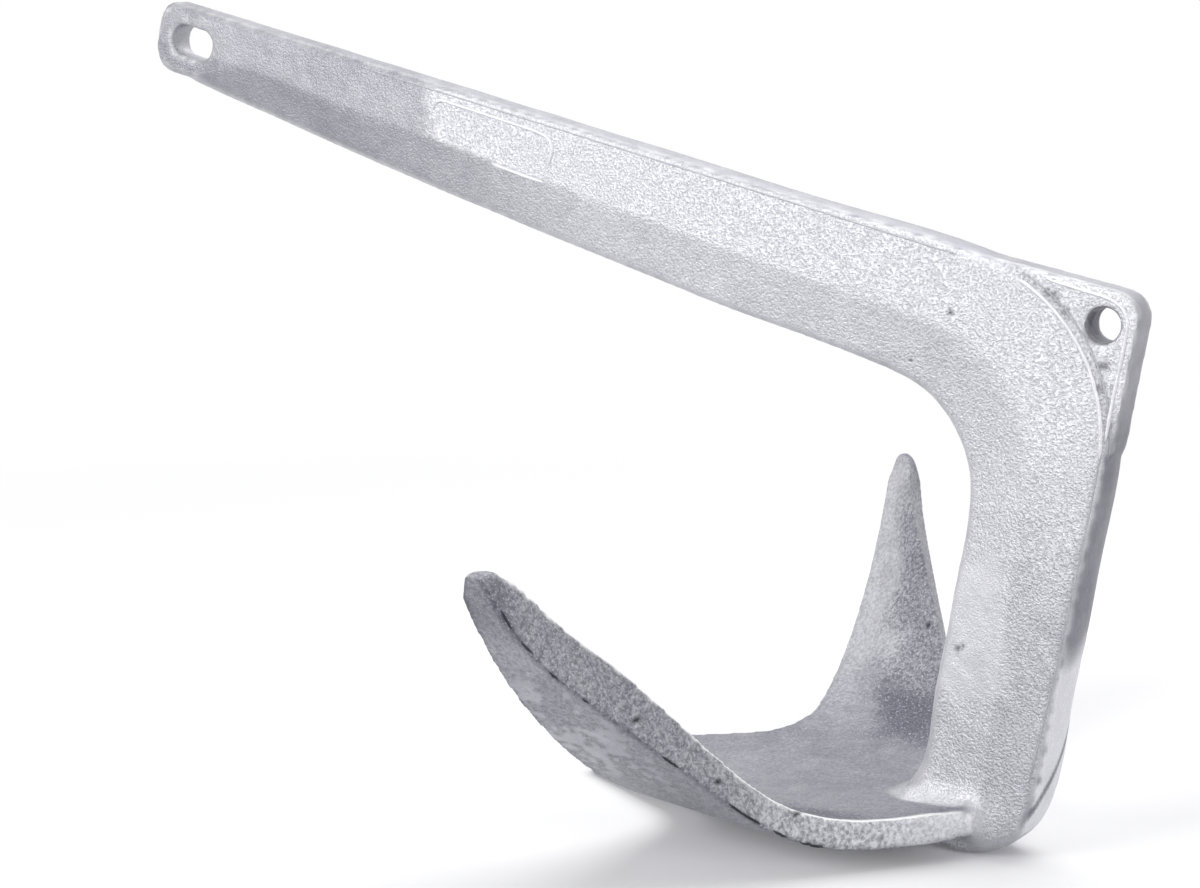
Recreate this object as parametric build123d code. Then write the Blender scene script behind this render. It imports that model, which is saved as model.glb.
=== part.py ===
from build123d import *
import os
from math import atan2, cos, degrees, hypot, pi, radians, sin, tan

# Claw anchor of about 8.4 kg, cast in one piece. Millimetres, Z up, the shank points to -X.
# It stands on the heel under the upright and on the tip of the middle toe.

# Side view: the arm drops towards the elbow, the upright leans back under it
ARM_LENGTH = 558.0          # eye end to the sharp outer corner, along the top
ARM_SLOPE = 12.8            # degrees below level
UPRIGHT_LEAN = 7.8          # degrees off plumb
CORNER_HEIGHT = 239.8       # sharp outer corner above the floor
EYE_DEPTH = 36.0            # top to underside at the shackle end
ARM_DEPTH = 61.5            # the same where the elbow begins
ARM_BELLY = 4.0             # how far the underside bows out from straight
UNDER_TURN = 1.4            # degrees the underside is steeper than the top at the elbow
UPRIGHT_DEPTH = 57.0        # front to back of the upright
OUTER_BEND = 76.0           # radius of the back of the elbow
INNER_BEND = 53.0           # radius of the throat
HEEL_RADIUS = 31.0
HEEL_SETOFF = 8.0           # the heel stands this far ahead of the point the claw is measured from
FOOT_TOP = 32.0             # height where the front of the upright spreads into the palm
FOOT_SPREAD = 14.0
FOOT_SINK = 24.0            # how far the spread runs down, into the palm
FOOT_FILLET = 2.5           # round the foot of the upright, on top of the palm

# Thickness across the anchor, and the section it follows. Places along the shank count 0 to 1 down the
# arm, 1 to 2 round the elbow, 2 to 3 down the upright and 3 to 4 round the heel
EYE_THICKNESS = 14.0
ELBOW_THICKNESS = 23.0
FOOT_THICKNESS = 30.0
THROAT_THICKNESS = 9.0      # blunt inner edge below the bevels
CROWN = 1.3                 # height of the rounded back above its corners
HEEL_CROWN = 0.1            # the heel is worn flat across
BACK_CORNER = 3.0           # radius where back and sides meet
HEEL_CORNER = 7.0           # the same round the heel
RIDGE_SHARE = 0.55          # part of the depth that is flat side before the bevel
EYE_RIDGE_SHARE = 0.93      # the same at the eye end
FOOT_RIDGE_SHARE = 0.40     # and at the foot
BEVEL_OPENS = (0.06, 0.14)  # along the arm: where the bevel starts and where it is full
FOOT_FORMS = (2.0, 3.2)     # from the end of the elbow into the heel: where the section of the foot forms
HEEL_FORMS = (2.5, 3.5)     # where the back turns flat for the heel
THICKENING = 0.6            # below 1, the arm gains more of its thickness near the eye
EYE_EDGE_STEP = 1.5         # the inner edge of the eye end stands in from its sides by this much
FOOT_EDGE_SHARE = 0.62      # inner edge at the foot, as a part of the thickness there
NOSE_SHARE = 0.7            # depth of the round of the inner edge, as a part of its half width

# Shackle slot and trip line eye
EYE_WALL = 10.5             # metal left round the end of the slot
SLOT_LENGTH = 30.5
SLOT_WIDTH = 15.5
EYE_CORNER = 14.0
EYE_CLEARANCE = 0.25        # the rounding of the end starts this far off its top and underside
GUSSET_THICKNESS = 17.0
GUSSET_CORNER = 12.0
GUSSET_LENGTH = 61.0        # down the upright from the sharp corner
GUSSET_RISE = 2.5           # the gusset stands this much proud of the line of the arm
GUSSET_ROOT = 12.0          # how far it reaches into the shank
BORE_DIAMETER = 14.5
BORE_INSET = 13.0           # bore centre to the lines of the arm and the upright

# Claw, seen from the front: flat floor, round corner, straight wall, curled tip
FLOOR_HALF_WIDTH = 52.0
CHINE_RADIUS = 71.0
WALL_ANGLE = 45.0
WALL_LENGTH = 82.0
CURL_RADIUS = 121.0
TIP_ANGLE = 72.0
FRONT_RADIUS = 204.0        # the front edge of the claw is one round arc
FRONT_ANGLE = 68.0
FRONT_DROP = 2.4            # its lowest point below the flat floor

# Claw, seen from above
PALM_HEIGHT = 9.8           # underside of the palm at the heel, above the floor
REAR_SWEEP = 36.9           # degrees the back rim runs forward on each side
REAR_SETBACK = 14.7         # back rim on the centre line, behind the heel
HORN_FRONT = 115.6          # front edge of the horns ahead of the heel, on the centre line
HORN_RAKE = 7.8             # degrees
BREAK_AHEAD = 3.0           # the wall starts to thicken this far ahead of the horns' front edge
TOE_REACH = 196.0           # tip of the middle toe ahead of the heel
TOE_ROOT_HALF = 53.6        # half width of the toe where it meets the line of the horns
TOE_TIP_HALF = 23.0
TOE_CORNER = 9.0
NOTCH_RADIUS = 28.0

# Wall of the claw: thick at the back rim, thin in front
RIM_THICKNESS = 13.0
HORN_THICKNESS = 20.5
TIP_THICKNESS = 13.0
TIP_TAPER = 0.80            # from this share of the way to the tip, the back rim thins again
TOE_THICKNESS = 8.0
HORN_FRONT_THICKNESS = 4.5
TIP_ROUND = 7.0             # corner radius of the horn tips, seen from the side
TIP_CLEARANCE = 12.0        # the outline that rounds the tips stays this far off the rest of the horn
TIP_SHOULDER = 0.6          # and starts at this share of the way from the centre plane to the tip
ROUND_ROOM = 0.45           # a corner takes up at most this part of the tip

# Along the claw, as shares of the way from the centre plane to the tip: where a change starts and ends
FRONT_THINS = (0.20, 0.50)
RIM_THICKENS = (0.42, 0.76)
TOE_RUNS_OUT = (0.25, 0.40)
FRONT_MEETS_BACK = (0.85, 1.0)
CLAW_SLICES = 15            # slices on each side of the centre plane
CUT_MARGIN = 20.0           # the outlines that cut the claw to shape reach this far past it


def along(point, angle, distance):
    """Point at a distance in a direction of the side view."""
    return (point[0] + distance * cos(radians(angle)), point[1] + distance * sin(radians(angle)))


def share_of(span, t):
    """How much of a span has been covered."""
    return (t - span[0]) / (span[1] - span[0])


def blend(a, b, t):
    t = min(max(t, 0.0), 1.0)
    return a + (b - a) * t


def ease(a, b, t):
    t = min(max(t, 0.0), 1.0)
    return a + (b - a) * t * t * (3 - 2 * t)


# Directions of the side view, and the corners its lines would meet in
HEEL_X = -HEEL_SETOFF
REAR_FOOT = HEEL_X + HEEL_RADIUS * tan(radians(45 - UPRIGHT_LEAN / 2))
CORNER = (REAR_FOOT + CORNER_HEIGHT * tan(radians(UPRIGHT_LEAN)), CORNER_HEIGHT)
EYE_TOP = along(CORNER, 180 - ARM_SLOPE, ARM_LENGTH)
DOWN = 270 - UPRIGHT_LEAN
INTO_ARM = 270 - ARM_SLOPE


def elbow_arc(corner, slope, radius):
    """Centre of the arc that rounds a corner, and where it leaves the arm and joins the upright."""
    half = (90 + slope - UPRIGHT_LEAN) / 2
    reach = radius / tan(radians(half))
    start = along(corner, 180 - slope, reach)
    return along(start, 270 - slope, radius), start, along(corner, DOWN, reach)


def inner_corner():
    """Sharp corner of the throat, where the underside of the arm meets the front of the upright."""
    front = along(CORNER, 180 - UPRIGHT_LEAN, UPRIGHT_DEPTH)
    under = along(elbow_arc(CORNER, ARM_SLOPE, OUTER_BEND)[1], INTO_ARM, ARM_DEPTH)
    slope = ARM_SLOPE + UNDER_TURN
    lean = tan(radians(UPRIGHT_LEAN))
    run = (front[0] - under[0] + lean * (under[1] - front[1])) / (1 + lean * tan(radians(slope)))
    return (under[0] + run, under[1] - run * tan(radians(slope)))


def outer_point(t):
    """Back of the shank: arm for t 0 to 1, elbow 1 to 2, upright 2 to 3, heel 3 to 4."""
    centre, start, end = elbow_arc(CORNER, ARM_SLOPE, OUTER_BEND)
    heel = (HEEL_X, HEEL_RADIUS)
    foot = along(heel, -UPRIGHT_LEAN, HEEL_RADIUS)
    if t <= 1:
        return (blend(EYE_TOP[0], start[0], t), blend(EYE_TOP[1], start[1], t))
    if t <= 2:
        return along(centre, blend(90 - ARM_SLOPE, -UPRIGHT_LEAN, t - 1), OUTER_BEND)
    if t <= 3:
        return (blend(end[0], foot[0], t - 2), blend(end[1], foot[1], t - 2))
    return along(heel, blend(-UPRIGHT_LEAN, -90, t - 3), HEEL_RADIUS)


def inner_point(t):
    """Throat side of the shank, in step with outer_point."""
    centre, start, end = elbow_arc(inner_corner(), ARM_SLOPE + UNDER_TURN, INNER_BEND)
    eye = along(EYE_TOP, INTO_ARM, EYE_DEPTH)
    if t <= 1:
        chord = (blend(eye[0], start[0], t), blend(eye[1], start[1], t))
        return along(chord, INTO_ARM, ARM_BELLY * 4 * t * (1 - t))
    if t <= 2:
        return along(centre, blend(90 - ARM_SLOPE - UNDER_TURN, -UPRIGHT_LEAN, t - 1), INNER_BEND)
    foot = along(end, DOWN, end[1] - FOOT_TOP)
    if t <= 3:
        return (blend(end[0], foot[0], t - 2), blend(end[1], foot[1], t - 2))
    return (foot[0] - FOOT_SPREAD * (t - 3), foot[1] - FOOT_SINK * (t - 3))


def thickness(t):
    if t <= 2:
        return EYE_THICKNESS + (ELBOW_THICKNESS - EYE_THICKNESS) * (t / 2) ** THICKENING
    return blend(ELBOW_THICKNESS, FOOT_THICKNESS, share_of(FOOT_FORMS, t))


def ridge_share(t):
    """The flat side fills the whole depth at the eye, then the bevel opens."""
    opened = ease(EYE_RIDGE_SHARE, RIDGE_SHARE, share_of(BEVEL_OPENS, t))
    return ease(opened, FOOT_RIDGE_SHARE, share_of(FOOT_FORMS, t))


def shank_section(t):
    """Outline across the shank: crowned back, flat sides, bevels down to a blunt inner edge."""
    back, front = outer_point(t), inner_point(t)
    depth = hypot(front[0] - back[0], front[1] - back[1])
    dx, dz = (front[0] - back[0]) / depth, (front[1] - back[1]) / depth
    half = thickness(t) / 2
    edge = ease(half - EYE_EDGE_STEP, THROAT_THICKNESS / 2, share_of(BEVEL_OPENS, t))
    edge = ease(edge, half * FOOT_EDGE_SHARE, share_of(FOOT_FORMS, t))
    ridge = ridge_share(t) * depth

    def at(y, d):
        return Vector(back[0] + dx * d, y, back[1] + dz * d)

    crown = ease(CROWN, HEEL_CROWN, share_of(HEEL_FORMS, t))
    r = ease(BACK_CORNER, HEEL_CORNER, share_of(HEEL_FORMS, t))
    k = r * (1 - cos(pi / 4))
    nose = edge * NOSE_SHARE
    right = [at(half - r, 0), at(half - k, k), at(half, r), at(half, ridge), at(edge, depth - nose)]
    left = [Vector(p.X, -p.Y, p.Z) for p in right]
    return Wire([
        Edge.make_three_point_arc(left[0], at(0, -crown), right[0]),
        Edge.make_three_point_arc(right[0], right[1], right[2]),
        Edge.make_line(right[2], right[3]),
        Edge.make_line(right[3], right[4]),
        Edge.make_three_point_arc(right[4], at(0, depth), left[4]),
        Edge.make_line(left[4], left[3]),
        Edge.make_line(left[3], left[2]),
        Edge.make_three_point_arc(left[2], left[1], left[0]),
    ])


def shank():
    stations = [0, 0.06, 0.10, 0.14, 0.25, 0.40, 0.55, 0.70, 0.85, 1.0]
    stations += [1.2, 1.4, 1.6, 1.8, 2.0, 2.25, 2.5, 2.75, 3.0, 3.33, 3.67, 4.0]
    return Solid.make_loft([shank_section(t) for t in stations])


def arm_plane(distance, depth):
    """Plane of the side view with its X axis down the arm, at a place measured from the eye end."""
    spot = along(along(EYE_TOP, -ARM_SLOPE, distance), INTO_ARM, depth)
    return Plane(origin=(spot[0], 0, spot[1]), x_dir=(cos(radians(ARM_SLOPE)), 0, -sin(radians(ARM_SLOPE))),
                 z_dir=(0, -1, 0))


def eye_end(body):
    """Round the end of the arm in the side view and open the shackle slot."""
    height = EYE_DEPTH + CROWN + 2 * EYE_CLEARANCE
    plane = arm_plane(EYE_CORNER, (EYE_DEPTH - CROWN) / 2)
    round_end = Pos(EYE_CORNER, 0) * RectangleRounded(4 * EYE_CORNER, height, EYE_CORNER)
    waste = Pos(-EYE_CORNER, 0) * Rectangle(4 * EYE_CORNER, 2 * height) - round_end
    body = body - extrude(plane * waste, EYE_THICKNESS, both=True)
    slot_plane = arm_plane(EYE_WALL + SLOT_LENGTH / 2, EYE_DEPTH / 2)
    return body - extrude(slot_plane * SlotOverall(SLOT_LENGTH, SLOT_WIDTH), EYE_THICKNESS, both=True)


def gusset():
    """Thin web that fills the outer corner of the elbow and carries the trip line eye."""
    centre, start, end = elbow_arc(CORNER, ARM_SLOPE, OUTER_BEND)
    corner = along(along(CORNER, 90 - ARM_SLOPE, GUSSET_RISE), -UPRIGHT_LEAN, GUSSET_RISE / 2)
    low = along(along(CORNER, DOWN, GUSSET_LENGTH), -UPRIGHT_LEAN, GUSSET_RISE / 2)
    inside = along(centre, 45 - (ARM_SLOPE + UPRIGHT_LEAN) / 2, OUTER_BEND - GUSSET_ROOT)
    arm_root, foot_root = along(start, INTO_ARM, GUSSET_ROOT), along(low, 180, GUSSET_ROOT)
    outline = Polygon(corner, start, arm_root, inside, foot_root, low, align=None)
    outline = fillet(outline.vertices().sort_by(Axis.X)[-1], GUSSET_CORNER)
    bore = along(along(CORNER, 180 - ARM_SLOPE, BORE_INSET), DOWN, BORE_INSET)
    web = extrude(Plane.XZ * outline, GUSSET_THICKNESS / 2, both=True)
    hole = Plane.XZ * Pos(bore[0], bore[1]) * Circle(BORE_DIAMETER / 2)
    return web, extrude(hole, GUSSET_THICKNESS, both=True)


def wall_run(s):
    """Underside of the claw seen from the front, followed for a distance from the centre plane.

    Gives how far out and how high it has come, and how steep it is."""
    parts = [
        (FLOOR_HALF_WIDTH, 0.0),
        (CHINE_RADIUS * radians(WALL_ANGLE), 1 / CHINE_RADIUS),
        (WALL_LENGTH, 0.0),
        (CURL_RADIUS * radians(TIP_ANGLE - WALL_ANGLE), 1 / CURL_RADIUS),
    ]
    v, w, lean = 0.0, 0.0, 0.0
    for length, bend in parts:
        run = min(max(s, 0.0), length)
        after = lean + bend * run
        if bend:
            v += (sin(after) - sin(lean)) / bend
            w += (cos(lean) - cos(after)) / bend
        else:
            v += run * cos(lean)
            w += run * sin(lean)
        lean = after
        s -= length
    return v, w, lean


def wall_length():
    bends = CHINE_RADIUS * radians(WALL_ANGLE) + CURL_RADIUS * radians(TIP_ANGLE - WALL_ANGLE)
    return FLOOR_HALF_WIDTH + WALL_LENGTH + bends


def palm_section(share):
    """Slice through the claw from its front edge to the back rim.

    The front follows one round arc, the back follows the flat floor, corner and wall, and the toe
    runs out flat."""
    side = -1 if share < 0 else 1
    share = abs(share)
    v, w, lean = wall_run(share * wall_length())
    turn = share * radians(FRONT_ANGLE)
    merge = share_of(FRONT_MEETS_BACK, share)
    front_v = ease(FRONT_RADIUS * sin(turn), v, merge)
    front_w = ease(FRONT_RADIUS * (1 - cos(turn)) - FRONT_DROP, w, merge)
    turn = ease(turn, lean, merge)
    rear = REAR_SETBACK - v * tan(radians(REAR_SWEEP))
    front = -HORN_FRONT - front_v * tan(radians(HORN_RAKE)) - BREAK_AHEAD
    rim = ease(RIM_THICKNESS, HORN_THICKNESS, share_of(RIM_THICKENS, share))
    rim = rim - (HORN_THICKNESS - TIP_THICKNESS) * max(0.0, (share - TIP_TAPER) / (1 - TIP_TAPER)) ** 2
    thin = ease(TOE_THICKNESS, HORN_FRONT_THICKNESS, share_of(FRONT_THINS, share))

    def at(u, k, raised):
        """Point at u, share k of the way from the front to the back, raised off the underside."""
        y = blend(front_v - raised * thin * sin(turn), v - raised * rim * sin(lean), k)
        z = blend(front_w + raised * thin * cos(turn), w + raised * rim * cos(lean), k)
        return Vector(u, side * y, z)

    def toe_end(raised):
        bend = ease(0, 1, share_of(TOE_RUNS_OUT, share))
        y = front_v - raised * thin * sin(turn * bend)
        z = blend(-FRONT_DROP, front_w, bend) + raised * thin * cos(turn * bend)
        return Vector(-TOE_REACH - 2 * TOE_THICKNESS, side * y, z)

    corners = [toe_end(0), at(front, 0, 0), at(rear, 1, 0), at(rear, 1, 1), at(front, 0, 1), toe_end(1)]
    return Wire.make_polygon(corners, close=True)


def claw_outline():
    """Claw from above: middle toe, two round notches, straight raked fronts of the horns."""
    wide = wall_run(wall_length())[0] + CUT_MARGIN
    notch = -HORN_FRONT - TOE_ROOT_HALF * tan(radians(HORN_RAKE))
    half = [(-TOE_REACH, TOE_TIP_HALF), (notch, TOE_ROOT_HALF),
            (-HORN_FRONT - wide * tan(radians(HORN_RAKE)), wide), (REAR_SETBACK + CUT_MARGIN, wide)]
    points = list(reversed(half)) + [(x, -y) for x, y in half]
    outline = Polygon(*points, align=None)
    tips = [p for p in outline.vertices() if abs(p.X + TOE_REACH) < 0.01]
    outline = fillet(tips, TOE_CORNER)
    notches = [p for p in outline.vertices() if abs(p.X - notch) + abs(abs(p.Y) - TOE_ROOT_HALF) < 0.01]
    return fillet(notches, NOTCH_RADIUS)


def tip_outline():
    """Claw from the side: everything below the horn tips, which it rounds off."""
    wide, top, lean = wall_run(wall_length())
    top = top + TIP_THICKNESS * cos(lean)
    side, shoulder, lean = wall_run(wall_length() * TIP_SHOULDER)
    low, ahead, behind = -CHINE_RADIUS, -TOE_REACH - CUT_MARGIN, REAR_SETBACK + CUT_MARGIN
    front = -HORN_FRONT - wide * tan(radians(HORN_RAKE))
    rear = REAR_SETBACK - wide * tan(radians(REAR_SWEEP))
    back = REAR_SETBACK - side * tan(radians(REAR_SWEEP)) + TIP_CLEARANCE
    outline = Polygon(
        (ahead, low), (ahead, shoulder), (front, shoulder), (front, top),
        (rear, top), (back, shoulder), (behind, shoulder), (behind, low), align=None)
    tips = [p for p in outline.vertices() if p.Y > (top + shoulder) / 2]
    return fillet(tips, min(TIP_ROUND, (rear - front) * ROUND_ROOM))


def claw():
    shares = [k / CLAW_SLICES for k in range(-CLAW_SLICES, CLAW_SLICES + 1)]
    scoop = Solid.make_loft([palm_section(share) for share in shares])
    scoop = scoop & extrude(claw_outline(), TOE_REACH, both=True)
    scoop = scoop & extrude(Plane.XZ * tip_outline(), wall_length(), both=True)
    slope = degrees(atan2(PALM_HEIGHT - FRONT_DROP, TOE_REACH))
    return Pos(0, 0, PALM_HEIGHT) * Rot(0, -slope, 0) * scoop


def anchor():
    web, hole = gusset()
    arm, scoop = eye_end(shank()), claw()
    body = arm + scoop
    seams = [e for e in new_edges(arm, scoop, combined=body) if abs((e % 0.5).Z) < 0.5]
    foot = [e for e in seams if (e @ 0.5).Z > PALM_HEIGHT + TOE_THICKNESS / 2]
    body = fillet(foot, FOOT_FILLET) + web - hole
    return body.solids().sort_by(SortBy.VOLUME)[-1]


part = anchor()
box = part.bounding_box()
part = Pos(-box.center().X, 0, -box.min.Z) * part
os.makedirs("parts", exist_ok=True)
export_step(part, "parts/claw_anchor.step")
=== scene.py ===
import math
from types import SimpleNamespace

import bpy
import numpy as np
from mathutils import Matrix, Vector, noise
from mathutils.bvhtree import BVHTree


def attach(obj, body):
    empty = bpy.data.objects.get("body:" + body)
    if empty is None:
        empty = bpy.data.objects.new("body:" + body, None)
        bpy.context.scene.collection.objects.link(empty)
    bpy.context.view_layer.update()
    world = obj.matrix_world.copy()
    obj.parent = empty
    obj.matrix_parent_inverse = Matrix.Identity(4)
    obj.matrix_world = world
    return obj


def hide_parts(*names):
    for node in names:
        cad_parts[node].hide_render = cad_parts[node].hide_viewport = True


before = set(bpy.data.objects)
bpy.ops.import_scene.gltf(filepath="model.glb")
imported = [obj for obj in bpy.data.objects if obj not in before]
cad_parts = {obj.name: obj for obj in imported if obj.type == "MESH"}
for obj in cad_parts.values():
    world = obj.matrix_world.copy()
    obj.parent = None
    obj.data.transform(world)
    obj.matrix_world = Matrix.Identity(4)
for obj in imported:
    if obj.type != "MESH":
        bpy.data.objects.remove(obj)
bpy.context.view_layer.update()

MM = 0.001

# The casting: one skin over the solid, with rounded arrises and the unevenness of a sand mould
SKIN_GRID = 1.55 * MM           # spacing of the points of the skin
DRAW_FROM = 2.0 * MM            # how far outside the solid they start before they are drawn onto it
DRAWS = 2                       # drawing them twice evens out the edges
EASING_ROUNDS = 2               # smoothing passes before each draw
ARRIS_ROUNDS = 6                # smoothing passes that round the sharp edges to about 2 mm
RELIEF_ROUNDS = 10              # passes of a softer copy, which tells edges from hollows
SWELL_HEIGHT = 0.25 * MM        # slow unevenness of the mould wall
SWELL_SIZE = 34 * MM
SWELL_SEED = 0.0
LUMP_HEIGHT = 0.10 * MM         # pits and lumps of the sand and the zinc
LUMP_SIZE = 6.5 * MM
LUMP_SEED = 5.0
PIT_DEPTH = 0.5 * MM

# Places worn or filled rounder than the rest, on both sides: middle and reach, mm
SOFT_PLACES = [((88.0, 184.0, 133.0), 17.0), ((84.0, 183.0, 132.0), 16.0), ((83.0, 183.0, 132.0), 15.0),
               ((83.0, 183.0, 132.0), 14.0), ((190.0, 12.0, 22.0), 22.0), ((208.0, 16.0, 22.0), 18.0),
               ((226.0, 18.0, 14.0), 17.0), ((226.0, 18.0, 14.0), 15.0)]
SOFT_ROUNDS = 18

# The rounding shortens the horns; this pulls their tips back out, on both sides: middle, reach and pull, mm
TIP_PULL = ((83.0, 183.0, 130.0), 32.0, (-0.4, 1.9, 2.4))

# Side view of the shank, mm
ELBOW_CORNER = (274.5, 239.8)   # where the lines of the arm and the upright would meet
ARM_SLOPE = math.radians(12.8)
UPRIGHT_LEAN = math.radians(7.8)
ELBOW_CENTRE = (189.7, 181.1)
ELBOW_RADIUS = 76.0
ELBOW_TURN = (62, -4)           # degrees, where the edge of the elbow shows
ELBOW_POINTS = 40

# Beads, mm
BEAD_GAP = 1.5                  # spacing of the rings along a bead
BEAD_SIDES = 8
BEAD_WOBBLE = 0.25              # share by which its thickness wanders
BEAD_WOBBLE_SIZE = 5.0
BEAD_END = 0.25                 # share of its thickness at an end, and how fast it grows from there
BEAD_GROWTH = 0.3
BEAD_EASING = 2                 # passes that round the corners of a path
PANEL_BEAD = 0.95
ELBOW_BEAD = 0.9
SEAM_BEAD = 0.40
RIM_BEAD = 0.8
FLASH_BEAD = 0.55
ELBOW_EDGE_INSET = 2.2          # the bead of the elbow lies inside its outer arc, and the seam outside it
ELBOW_SEAM_OUTSET = 0.6
ARM_SEAM_DROP = 3.2             # the seam runs this far below the back of the arm
ARM_SEAM = (-130.0, 196.0)      # x of its ends

# How far off the middle plane the beads start, before they are laid onto the skin, mm
PANEL_OFF = 9.0
ELBOW_EDGE_OFF = 11.5
ARM_SEAM_OFF = 9.0
UPRIGHT_SEAM_OFF = 13.0
ELBOW_SEAM_OFF = 8.5
GUSSET_RIM_OFF = 8.5

# Raised outline of the cast panel on the near side of the arm, mm (x, z)
PANEL = [(-82.9, 308.5), (-81.5, 312.2), (-78.6, 313.2), (-72.5, 311.7), (-42.1, 304.5), (-19.0, 299.0),
         (-13.2, 296.4), (-10.9, 292.9), (-11.4, 288.5), (-13.0, 284.0)]
PANEL_END = [(-47.7, 283.8), (-30.0, 279.2), (-15.0, 275.6)]

# Line along the outer edge of the gusset, on both sides, mm (x, z)
GUSSET_RIM = [(236.0, 246.6), (262.0, 240.8), (268.0, 237.6), (270.6, 232.0), (269.8, 224.0), (263.8, 183.0)]

# Line where the side of the upright turns into its back, mm (x, z)
UPRIGHT_SEAM = [(265.0, 182.0), (256.5, 120.0), (243.0, 38.0)]

# Lower back edge of the near horn, from the tip down to the heel, mm, and the stretches of it that kept their
# flash, as shares of its length; the flash there is drawn as near-black beads, painted shadow
HORN_EDGE = [(90.0, -189.5, 132.0), (98.5, -179.5, 109.5), (109.5, -165.5, 90.0), (117.0, -157.0, 81.0),
             (158.0, -104.5, 30.5), (173.0, -85.0, 16.0), (182.0, -73.5, 11.5)]
FLASH_PIECES = [(0.07, 0.12), (0.15, 0.19), (0.24, 0.27), (0.33, 0.335), (0.55, 0.60), (0.74, 0.83),
                (0.86, 0.90), (0.93, 0.99)]
FLASH_GAP = 0.8
SHORTEST_FLASH = 5              # rings

# Blow holes: x, y, z and radius, mm
PITS = [(204.8, -12.5, 87.4, 1.7), (207.5, -12.5, 88.7, 1.3), (175.9, -10.5, 208.3, 1.1),
        (195.0, -10.8, 230.5, 1.1), (134.0, 118.0, 62.0, 1.4), (166.0, -91.0, 33.0, 1.1),
        (171.0, -84.0, 27.0, 0.9), (150.0, -110.0, 44.0, 0.7), (128.0, -138.0, 72.0, 0.8),
        (196.0, -50.0, 15.0, 1.0), (111.0, -160.0, 97.0, 0.8)]
PIT_BLEND = 0.7                 # mm outside its radius where a hole starts to show
PIT_FLOOR = 0.4                 # share of its radius inside which it is fully dark
PIT_REACH_ACROSS = 0.2          # distance along y counts less, so that a hole surely reaches the skin

# What the skin tells the material at each point
MASKS = ("tone", "ripple", "sand", "wear_and_highlight", "dark")

# Where the finish changes. A span goes from where a change starts to where it is complete, either way round.
# Spans are mm along x, y or z, "off" the middle plane, or in depth below the back of the shank, unless their
# comment says something else. A wander is how far noise shifts the span before it.
PATCH_SIZE, PATCH_SEED = 16.0, 3.0
FLECK_SIZE, FLECK_SEED = 4.5, 11.0

SHANK_SIDE = (21.0, 16.5)       # off: outside it is claw
SHANK_FOOT = (26.0, 34.0)       # z
HEEL_FRONT = (184.0, 190.0)     # x
ARM_BOTTOM = 170.0              # z
ARM_RIDGE = ((-203.0, 206.0), (22.0, 34.0))     # where side and bevel meet on the arm: x, and depth there
UPRIGHT_RIDGE = ((27.0, 170.0), (23.0, 32.0))   # the same on the upright: z, and depth there
RIDGE_BLEND = 1.2
FLAT_FACE = (0.75, 0.95)        # how squarely a point faces sideways
CROWN_DEPTH = (6.0, 3.0)
CROWN_OFF_STRIP = 0.6           # share of the crown's tone that the rear strip doesn't take
GUSSET_EDGE = (0.5, -0.5)       # depth
GUSSET_ROOT = (-7.0, -1.5)      # depth, where the web is coarse and pitted
PANEL_START = (-70.0, -95.0)    # x, where the bright zinc of the near side stops
PANEL_WANDER = 6.0
FAR_SIDE_FADE = (0.0, -180.0)   # x
FAR_SIDE_SHARE = 0.6
BEVEL_FADE = (60.0, -150.0)     # x, over which the bevel of the arm turns darker, as painted shade
UPRIGHT_FADE = (250.0, 95.0)    # z
UPRIGHT_FRONT = (150.0, 190.0)  # x
MELTED_MIDDLE = (212.0, 96.0)   # x, z of a smooth oval low on the side
MELTED_SIZE = (22.0, 38.0)
MELTED_EDGE = (0.1, -0.5)       # 0 on the oval, -1 in its middle
MELTED_WANDER = 0.6
STRIP_TOP = (212.0, 178.0)      # z of the flat strip at the back of the upright
STRIP_FACING = (0.6, 0.85)      # how squarely a point faces back
STRIP_SEAM_START = (-13.0, 21.0)                # y, z of the diagonal seam on it
STRIP_SEAM_SLOPE = 26 / 41                      # y over z
STRIP_SEAM_WIDTH = (3.2, 1.0)
STRIP_SEAM_WANDER = 1.2
STRIP_SEAM_TOP = (66.0, 60.0)   # z
STRIP_SEAM_FOOT = (12.0, 18.0)  # z
RUN_TOP = (100.0, 88.0)         # z of the run of bright zinc on it
RUN_TOP_WANDER = 8.0
RUN_FOOT = (8.0, 14.0)          # z
RUN_SIDE = (-13.5, -11.0)       # y
RUN_SIDE_WANDER = 2.0
JOINT_DEPTH = 2.9               # depth of the joint of the mould halves below the back
JOINT_WIDTH = (2.2, 0.3)
JOINT_FACING = (0.35, 0.7)      # how squarely a point faces sideways
CHIPPED_RIDGE = (1.6, 0.2)      # distance from the ridge, along a stretch of the arm
CHIPPED_LEFT = (-95.0, -80.0)   # x
CHIPPED_RIGHT = (-15.0, -40.0)  # x
CHIPPED_FLECK = (-0.1, 0.2)     # value of the fleck noise

RIM_FACING = (0.45, 0.70)       # how squarely a point faces back
IN_OR_OUT = (-0.1, 0.2)         # how far a point faces up and inward
INWARD_LEAN = 0.6
CLAW_FRONT = (107.0, -0.137)    # x of the front edge in the middle plane, and its change per mm off it
CLAW_REAR = (237.3, -0.751)
BURNT_ACROSS = (0.25, 0.60)     # share of the way from the front edge to the rear edge
BURNT_WANDER = 0.15
BURNT_START = (42.0, 80.0)      # off
BURNT_END = (182.0, 158.0)      # off
BURNT_END_WANDER = 10.0
RIM_MIDDLE = (125.0, 40.0)      # off
RIM_HEEL = (70.0, 25.0)         # off
PALM_FACING = (0.6, 0.95)       # how squarely a point faces up; there the floor of the scoop is painted darker, as painted shade
TIP_TONE = (174.0, 182.0)       # off
TIP_HIGHLIGHT_FADE = (172.0, 180.0)       # off, where the painted highlight on the upper edges of the claw fades out at the horn tips
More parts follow.
